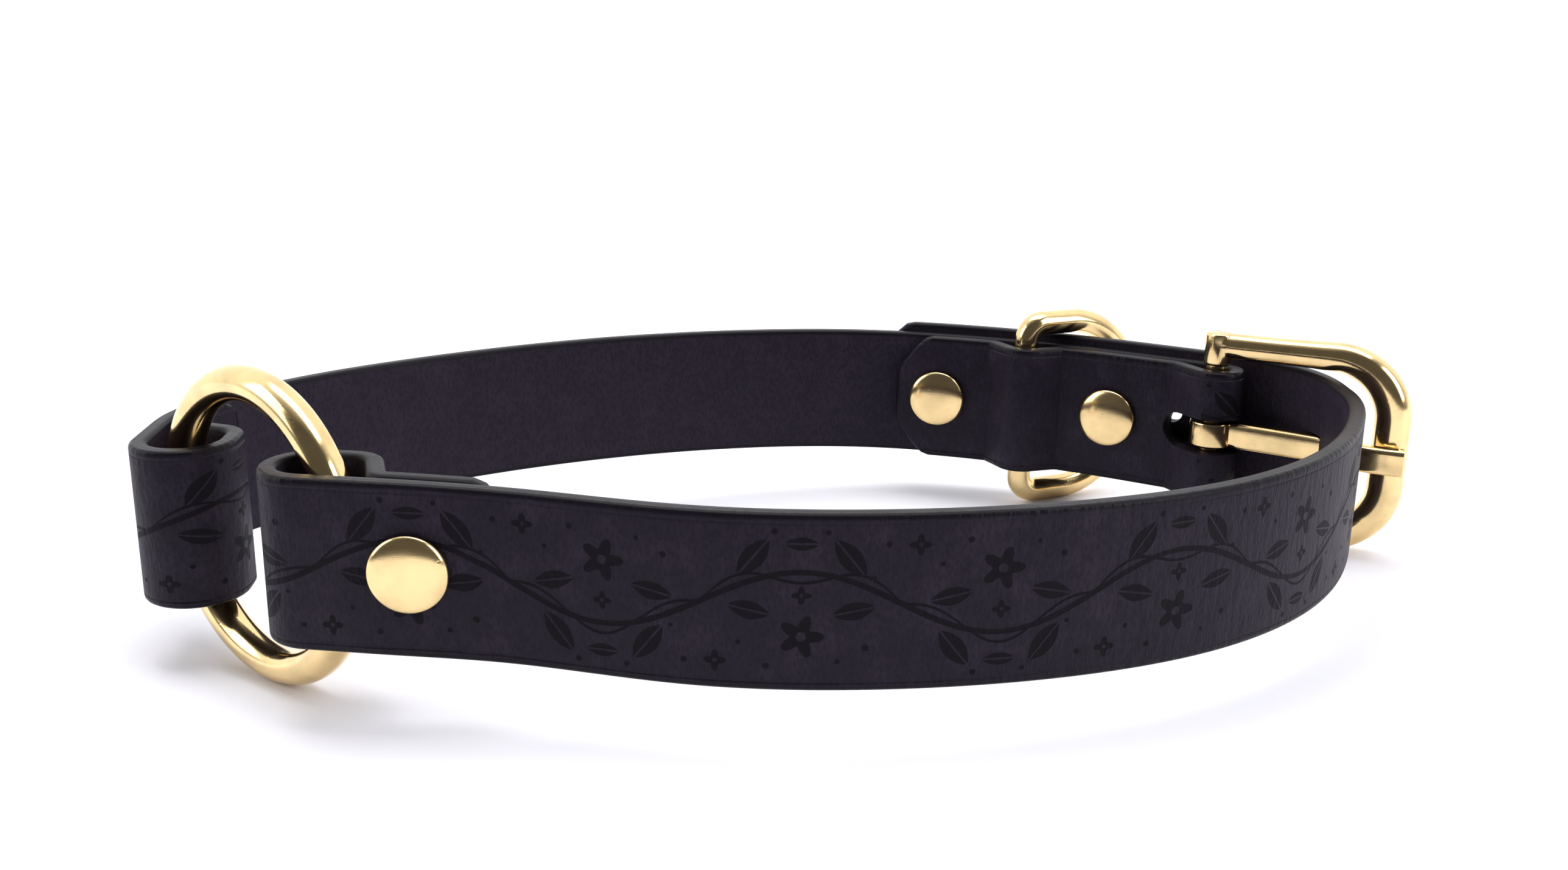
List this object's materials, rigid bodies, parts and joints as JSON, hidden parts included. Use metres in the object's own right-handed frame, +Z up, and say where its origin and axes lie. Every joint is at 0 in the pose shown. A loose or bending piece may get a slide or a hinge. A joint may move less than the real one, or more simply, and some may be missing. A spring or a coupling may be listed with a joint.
{
  "type": "dog collar",
  "caption": "Buckled leather dog collar: two strap lengths joined by an O-ring and a buckle, with a D-ring for the lead and domed rivets.",
  "frame": {"origin": "centre of the footprint, on the floor that the two rings and the buckle stand on", "axes": "+X to the right along the front strap, from the O-ring to the buckle; +Y from the front strap to the back strap; +Z up"},
  "size_m": [0.2184, 0.1246, 0.0495],
  "materials": {
    "leather": "satin charcoal-black, engraved on the outer face",
    "brass": "polished"
  },
  "bodies": {
    "collar": {"front_strap": "leather", "back_strap": "leather", "o_ring": "brass", "buckle_frame": "brass", "buckle_tongue": "brass", "front_rivet": "brass", "ring_rivet": "brass", "buckle_rivet": "brass", "chape_end_rivet": "brass"},
    "d_ring": {"d_ring": "brass"}
  },
  "joints": [
    {"name": "d_ring_swing", "type": "hinge", "parent": "collar", "child": "d_ring", "pos_m": [0.04372, 0.04599, 0.02024], "axis": [0.0252, 0.0025, 0.9997], "range_deg": [-6, 90]}
  ]
}
